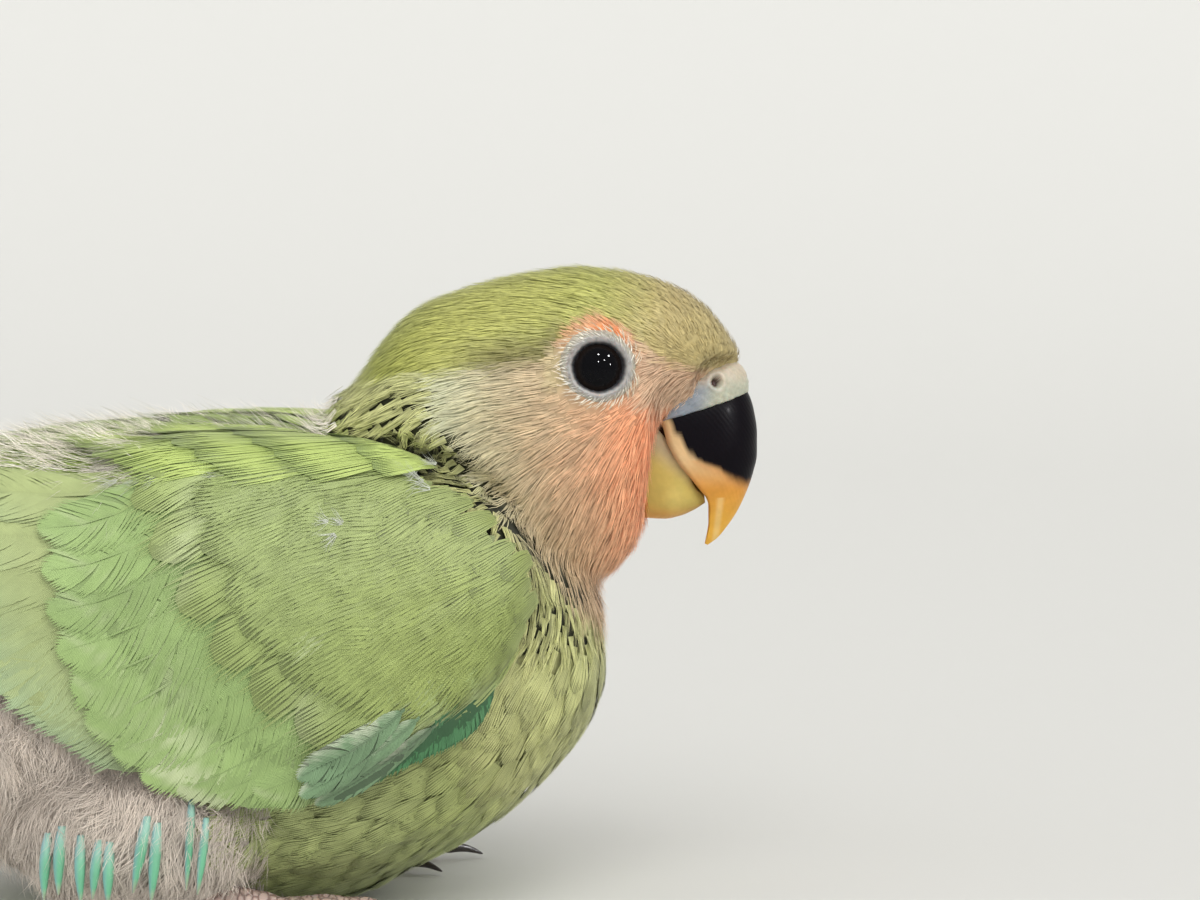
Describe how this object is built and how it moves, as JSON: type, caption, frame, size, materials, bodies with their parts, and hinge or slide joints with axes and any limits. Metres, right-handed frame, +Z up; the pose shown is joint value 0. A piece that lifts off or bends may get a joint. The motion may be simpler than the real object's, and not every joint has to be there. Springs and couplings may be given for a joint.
{
  "type": "peach faced lovebird",
  "caption": "Life-size young peach faced lovebird crouching on the floor with its wings folded, head drawn in and bill pointing down.",
  "frame": {"origin": "on the floor, midway between the front of the bill and the end of the tail, in the bird's middle plane", "axes": "+X forward, towards the bill; +Y to the bird's left; +Z up"},
  "size_m": [0.126, 0.05, 0.0642],
  "materials": {
    "plumage_green": "soft fresh green contour feathers with a satin sheen",
    "plumage_head": "short dense feathers, olive crown and pale peach cheek",
    "plumage_grey": "fluffy grey down of a young bird",
    "flight_feather": "firm green vanes with darker inner webs",
    "eye": "wet, nearly black",
    "cere": "soft pale skin",
    "bill_dark": "polished horn, black at the base and orange towards the tip",
    "bill_pale": "polished pale yellow horn",
    "foot_skin": "grey scaly skin",
    "claw": "dark horn"
  },
  "bodies": {
    "root": {"bill_lower": "bill_pale", "bill_upper": "bill_dark", "cere": "cere", "claw_left_1": "claw", "claw_left_2": "claw", "claw_left_3": "claw", "claw_left_4": "claw", "claw_right_1": "claw", "claw_right_2": "claw", "claw_right_3": "claw", "claw_right_4": "claw", "eye_left": "eye", "eye_right": "eye", "foot_left": "foot_skin", "foot_right": "foot_skin", "head": "plumage_head", "neck": "plumage_head", "tail": "flight_feather", "thigh_left": "plumage_grey", "thigh_right": "plumage_grey", "torso": "plumage_green", "wing_left": "flight_feather", "wing_right": "flight_feather"}
  },
  "joints": []
}
